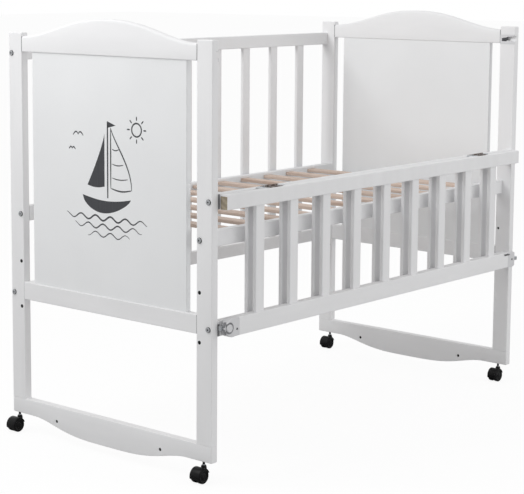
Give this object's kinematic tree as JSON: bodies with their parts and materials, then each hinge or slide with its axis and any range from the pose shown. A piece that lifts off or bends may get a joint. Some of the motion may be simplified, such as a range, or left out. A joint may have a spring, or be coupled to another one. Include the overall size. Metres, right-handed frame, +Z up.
{
  "type": "baby crib",
  "caption": "Wooden baby crib on castors with arched, panelled ends, slatted sides, a front half that folds down on hinges, push-button latches and a slatted mattress base.",
  "frame": {"origin": "on the floor under the middle of the whole crib's box, with the folding half hanging open", "axes": "+X along the crib towards the right-hand end as seen from the front, -Y towards the front with the folding half, +Z up"},
  "size_m": [1.2628, 0.677, 1.0125],
  "materials": {
    "white_paint": "satin",
    "white_panel": "satin",
    "beech": "matte",
    "white_plastic": "satin",
    "dark_steel": "satin",
    "bright_steel": "polished",
    "black_nylon": "gloss"
  },
  "bodies": {
    "frame": {"post_front_left": "white_paint", "post_back_left": "white_paint", "head_rail_left": "white_paint", "lower_rail_left": "white_paint", "rocker_left": "white_paint", "panel_left": "white_panel", "catch_plate_left": "white_plastic", "post_front_right": "white_paint", "post_back_right": "white_paint", "head_rail_right": "white_paint", "lower_rail_right": "white_paint", "rocker_right": "white_paint", "panel_right": "white_panel", "catch_plate_right": "white_plastic", "back_slats_and_bottom_rail": "white_paint", "back_top_rail": "white_paint", "front_slats_and_bottom_rail": "white_paint", "front_top_rail": "white_paint", "base_rail_front": "white_paint", "base_rail_back": "white_paint", "base_slat_01": "beech", "base_slat_02": "beech", "base_slat_03": "beech", "base_slat_04": "beech", "base_slat_05": "beech", "base_slat_06": "beech", "base_slat_07": "beech", "base_slat_08": "beech", "base_slat_09": "beech", "base_slat_10": "beech", "base_slat_11": "beech", "hinge_leaf_fixed_left": "dark_steel", "hinge_leaf_fixed_right": "dark_steel", "hinge_pin_left": "dark_steel", "hinge_pin_right": "dark_steel", "castor_stem_front_left": "bright_steel", "castor_stem_back_left": "bright_steel", "castor_stem_front_right": "bright_steel", "castor_stem_back_right": "bright_steel"},
    "gate": {"gate_slats_and_hinge_rail": "white_paint", "gate_latch_rail": "white_paint", "hinge_leaf_gate_left": "dark_steel", "hinge_leaf_gate_right": "dark_steel", "latch_housing_left": "white_plastic", "latch_housing_right": "white_plastic"},
    "button_left": {"latch_button_left": "white_plastic"},
    "button_right": {"latch_button_right": "white_plastic"},
    "tongue_left": {"latch_tongue_left": "bright_steel"},
    "tongue_right": {"latch_tongue_right": "bright_steel"},
    "hood_front_left": {"castor_hood_front_left": "black_nylon"},
    "hood_front_right": {"castor_hood_front_right": "black_nylon"},
    "hood_back_left": {"castor_hood_back_left": "black_nylon"},
    "hood_back_right": {"castor_hood_back_right": "black_nylon"},
    "wheels_front_left": {"castor_wheels_front_left": "black_nylon"},
    "wheels_front_right": {"castor_wheels_front_right": "black_nylon"},
    "wheels_back_left": {"castor_wheels_back_left": "black_nylon"},
    "wheels_back_right": {"castor_wheels_back_right": "black_nylon"}
  },
  "joints": [
    {"name": "gate_fold", "type": "hinge", "parent": "frame", "child": "gate", "pos_m": [0.01145, -0.315, 0.646], "axis": [-1, 0, 0], "range_deg": [0, 180]},
    {"name": "press_left", "type": "slide", "parent": "gate", "child": "button_left", "axis": [0, 1, 0], "range_m": [0, 0.004], "stiffness_N_per_m": 400, "springref_m": -0.004},
    {"name": "press_right", "type": "slide", "parent": "gate", "child": "button_right", "axis": [0, -1, 0], "range_m": [0, 0.004], "stiffness_N_per_m": 400, "springref_m": -0.004},
    {"name": "bolt_left", "type": "slide", "parent": "gate", "child": "tongue_left", "axis": [1, 0, 0], "range_m": [0, 0.005]},
    {"name": "bolt_right", "type": "slide", "parent": "gate", "child": "tongue_right", "axis": [-1, 0, 0], "range_m": [0, 0.005]},
    {"name": "swivel_front_left", "type": "hinge", "parent": "frame", "child": "hood_front_left", "pos_m": [-0.59855, -0.282, 0.034], "axis": [0, 0, 1], "continuous": true},
    {"name": "swivel_front_right", "type": "hinge", "parent": "frame", "child": "hood_front_right", "pos_m": [0.62145, -0.282, 0.034], "axis": [0, 0, 1], "continuous": true},
    {"name": "swivel_back_left", "type": "hinge", "parent": "frame", "child": "hood_back_left", "pos_m": [-0.59855, 0.325, 0.034], "axis": [0, 0, 1], "continuous": true},
    {"name": "swivel_back_right", "type": "hinge", "parent": "frame", "child": "hood_back_right", "pos_m": [0.62145, 0.302, 0.034], "axis": [0, 0, 1], "continuous": true},
    {"name": "roll_front_left", "type": "hinge", "parent": "hood_front_left", "child": "wheels_front_left", "pos_m": [-0.61255, -0.282, 0.01679], "axis": [0, 1, 0], "continuous": true},
    {"name": "roll_front_right", "type": "hinge", "parent": "hood_front_right", "child": "wheels_front_right", "pos_m": [0.60745, -0.282, 0.01679], "axis": [0, 1, 0], "continuous": true},
    {"name": "roll_back_left", "type": "hinge", "parent": "hood_back_left", "child": "wheels_back_left", "pos_m": [-0.61255, 0.325, 0.01679], "axis": [0, 1, 0], "continuous": true},
    {"name": "roll_back_right", "type": "hinge", "parent": "hood_back_right", "child": "wheels_back_right", "pos_m": [0.60745, 0.302, 0.01679], "axis": [0, 1, 0], "continuous": true}
  ],
  "couplings": [
    {"joint": "bolt_left", "follows": "press_left", "ratio": 1.25},
    {"joint": "bolt_right", "follows": "press_right", "ratio": 1.25}
  ]
}
